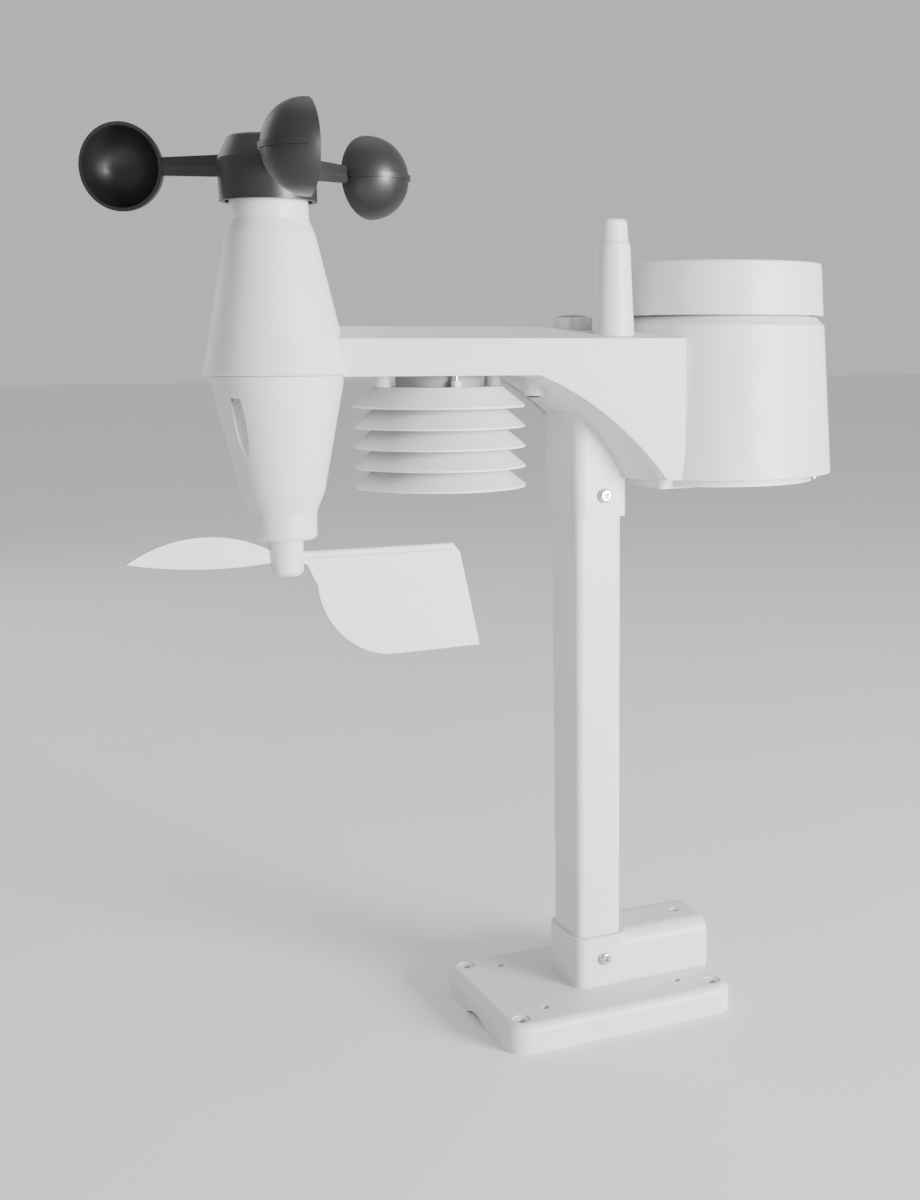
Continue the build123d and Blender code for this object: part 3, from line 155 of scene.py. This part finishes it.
def metal(name, dark, light, roughness, stretch):
    """Plated or ground metal, with fine marks drawn out along one way."""
    material, tree, shader = new_material(name)
    marks = noise(tree, MARK_SCALE, 4.0, stretch)
    tree.links.new(ramp(tree, marks, dark, light), shader.inputs["Base Color"])
    tree.links.new(spread(tree, marks, *roughness), shader.inputs["Roughness"])
    shader.inputs["Metallic"].default_value = 1.0
    bump(tree, shader, marks, 0.25, MARK_DEPTH)
    return material


def board_material():
    """Solder mask over copper tracks: two shades of green and a slight step between them."""
    material, tree, shader = new_material("circuit_board")
    place = tree.nodes.new("ShaderNodeTexCoord")
    cells = tree.nodes.new("ShaderNodeTexVoronoi")
    cells.distance = "MANHATTAN"
    cells.inputs["Scale"].default_value = TRACK_SCALE
    tree.links.new(place.outputs["Object"], cells.inputs["Vector"])
    tracks = cells.outputs["Distance"]
    colour = ramp(tree, tracks, (0.02, 0.16, 0.05), (0.05, 0.30, 0.11), 0.45, 0.55)
    tree.links.new(colour, shader.inputs["Base Color"])
    shader.inputs["Roughness"].default_value = 0.3
    bump(tree, shader, tracks, 0.4, 0.00005)
    return material


def vial_material():
    """Clear moulding with tinted liquid in it."""
    material, tree, shader = new_material("vial_glass")
    tint = ramp(tree, noise(tree, 90.0), (0.66, 0.86, 0.42), (0.74, 0.92, 0.52))
    tree.links.new(tint, shader.inputs["Base Color"])
    shader.inputs["Roughness"].default_value = 0.04
    shader.inputs["IOR"].default_value = 1.47
    shader.inputs["Transmission Weight"].default_value = 0.85
    return material


def cell_material():
    """A printed sleeve with a light band along each cell's lower end."""
    material, tree, shader = new_material("cell_sleeve")
    low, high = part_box("battery_cells")
    place = tree.nodes.new("ShaderNodeTexCoord")
    split = tree.nodes.new("ShaderNodeSeparateXYZ")
    band = tree.nodes.new("ShaderNodeMapRange")
    band.inputs["From Min"].default_value = low.z
    band.inputs["From Max"].default_value = high.z
    tree.links.new(place.outputs["Object"], split.inputs["Vector"])
    tree.links.new(split.outputs["Z"], band.inputs["Value"])
    colour = ramp(tree, band.outputs["Result"], (0.55, 0.55, 0.58), (0.03, 0.09, 0.28),
                  BAND_END - BAND_BLUR, BAND_END + BAND_BLUR)
    tree.links.new(colour, shader.inputs["Base Color"])
    tree.links.new(spread(tree, noise(tree, 300.0), 0.28, 0.4), shader.inputs["Roughness"])
    bump(tree, shader, noise(tree, 500.0), 0.15, 0.00004)
    return material


def materials():
    """One material for each of the record's slots, and one for the shroud, whose darker grey is painted
    shade.
    """
    along_z = (1.0, 1.0, 0.05)
    return {
        "housing": plastic("housing_plastic", (0.66, 0.665, 0.67), (0.71, 0.715, 0.72),
                           (0.36, 0.46), 2600.0, 0.00005),
        "rotor": plastic("rotor_plastic", (0.011, 0.011, 0.012), (0.018, 0.018, 0.019),
                         (0.36, 0.46), 2200.0, 0.00003, coat=0.08),
        "steel": metal("plated_steel", (0.55, 0.55, 0.56), (0.74, 0.74, 0.74), (0.18, 0.32), along_z),
        "bearing": metal("ground_steel", (0.42, 0.42, 0.44), (0.60, 0.60, 0.61), (0.14, 0.26), along_z),
        "magnet": plastic("ferrite", (0.09, 0.09, 0.095), (0.16, 0.16, 0.17), (0.55, 0.7), 1500.0, 0.00008),
        "board": board_material(),
        "black_plastic": plastic("black_plastic", (0.018, 0.018, 0.019), (0.032, 0.032, 0.034),
                                 (0.42, 0.55), 1900.0, 0.00006),
        # The shroud's mid grey is the pale housing grey darkened: painted shade for the shadow the drum sits
        # in.
        "shroud": plastic("shroud_painted_shade", (0.27, 0.272, 0.275), (0.33, 0.332, 0.335),
                          (0.4, 0.5), 2400.0, 0.00005),
        "antenna_wire": metal("brass_wire", (0.60, 0.45, 0.20), (0.78, 0.62, 0.32), (0.22, 0.36), along_z),
        "vial": vial_material(),
        "lens": plastic("light_lens", (0.36, 0.03, 0.02), (0.48, 0.05, 0.03),
                        (0.12, 0.2), 800.0, 0.00002, coat=0.6),
        "cell": cell_material(),
        "contact": metal("nickel_contact", (0.58, 0.57, 0.54), (0.74, 0.73, 0.70), (0.22, 0.36), along_z),
        "seal": plastic("foam_seal", (0.02, 0.02, 0.02), (0.045, 0.045, 0.045), (0.8, 0.95), 1400.0, 0.0002),
    }


def finish_nodes():
    """Each CAD node takes its slot's material, and is smooth except over its sharp edges."""
    finishes = materials()
    for row in frame["record"]["subparts"]:
        piece = frame["nodes"][row["node"]]
        piece.data.materials.clear()
        finish = PAINTED_SHADE_FINISH.get(row["node"], row["material_slot"])
        piece.data.materials.append(finishes[finish])
        piece.data.polygons.foreach_set("use_smooth", [True] * len(piece.data.polygons))
        piece.data.set_sharp_from_angle(angle=math.radians(SMOOTH_ANGLE))


# -------------------------------------------------------------------- stage

def floor():
    """A wide pale floor that the plate stands on."""
    bpy.ops.mesh.primitive_plane_add(size=FLOOR_SIZE, location=(0, 0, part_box("mounting_base")[0].z))
    plane = bpy.context.object
    plane.name = "floor"
    material, tree, shader = new_material("floor_paper")
    paper = ramp(tree, noise(tree, 6.0), (0.84, 0.84, 0.84), (0.86, 0.86, 0.86))
    tree.links.new(paper, shader.inputs["Base Color"])
    shader.inputs["Roughness"].default_value = 0.9
    plane.data.materials.append(material)


def soft_light(name, place, size, power, aim):
    """A round area lamp turned to face a point."""
    data = bpy.data.lights.new(name, "AREA")
    data.shape = "DISK"
    data.size = size
    data.energy = power
    lamp = bpy.data.objects.new(name, data)
    bpy.context.scene.collection.objects.link(lamp)
    lamp.location = place
    lamp.rotation_euler = (aim - Vector(place)).to_track_quat("-Z", "Y").to_euler()


def lights():
    """A broad key from the front right, weak lamps behind and above, and a pale world."""
    centre = (CAD_BOX[0] + CAD_BOX[1]) / 2
    for name, place, size, power in LAMPS:
        soft_light(name, place, size, power, centre)
    world = bpy.data.worlds.new("studio")
    world.use_nodes = True
    sky = world.node_tree.nodes["Background"]
    sky.inputs["Color"].default_value = (1, 1, 1, 1)
    sky.inputs["Strength"].default_value = SKY_STRENGTH
    bpy.context.scene.world = world


def camera():
    """The scene's camera."""
    data = bpy.data.cameras.new("camera")
    data.lens = CAMERA_LENS
    data.sensor_width = SENSOR_WIDTH
    data.shift_x, data.shift_y = CAMERA_SHIFT
    data.clip_start = CLIP_START
    eye = bpy.data.objects.new("camera", data)
    bpy.context.scene.collection.objects.link(eye)
    eye.location = CAMERA_PLACE
    eye.rotation_euler = (
        math.radians(90 - CAMERA_DOWN),
        math.radians(CAMERA_ROLL),
        math.radians(-CAMERA_HEADING),
    )
    bpy.context.scene.camera = eye


finish_nodes()
floor()
lights()
camera()
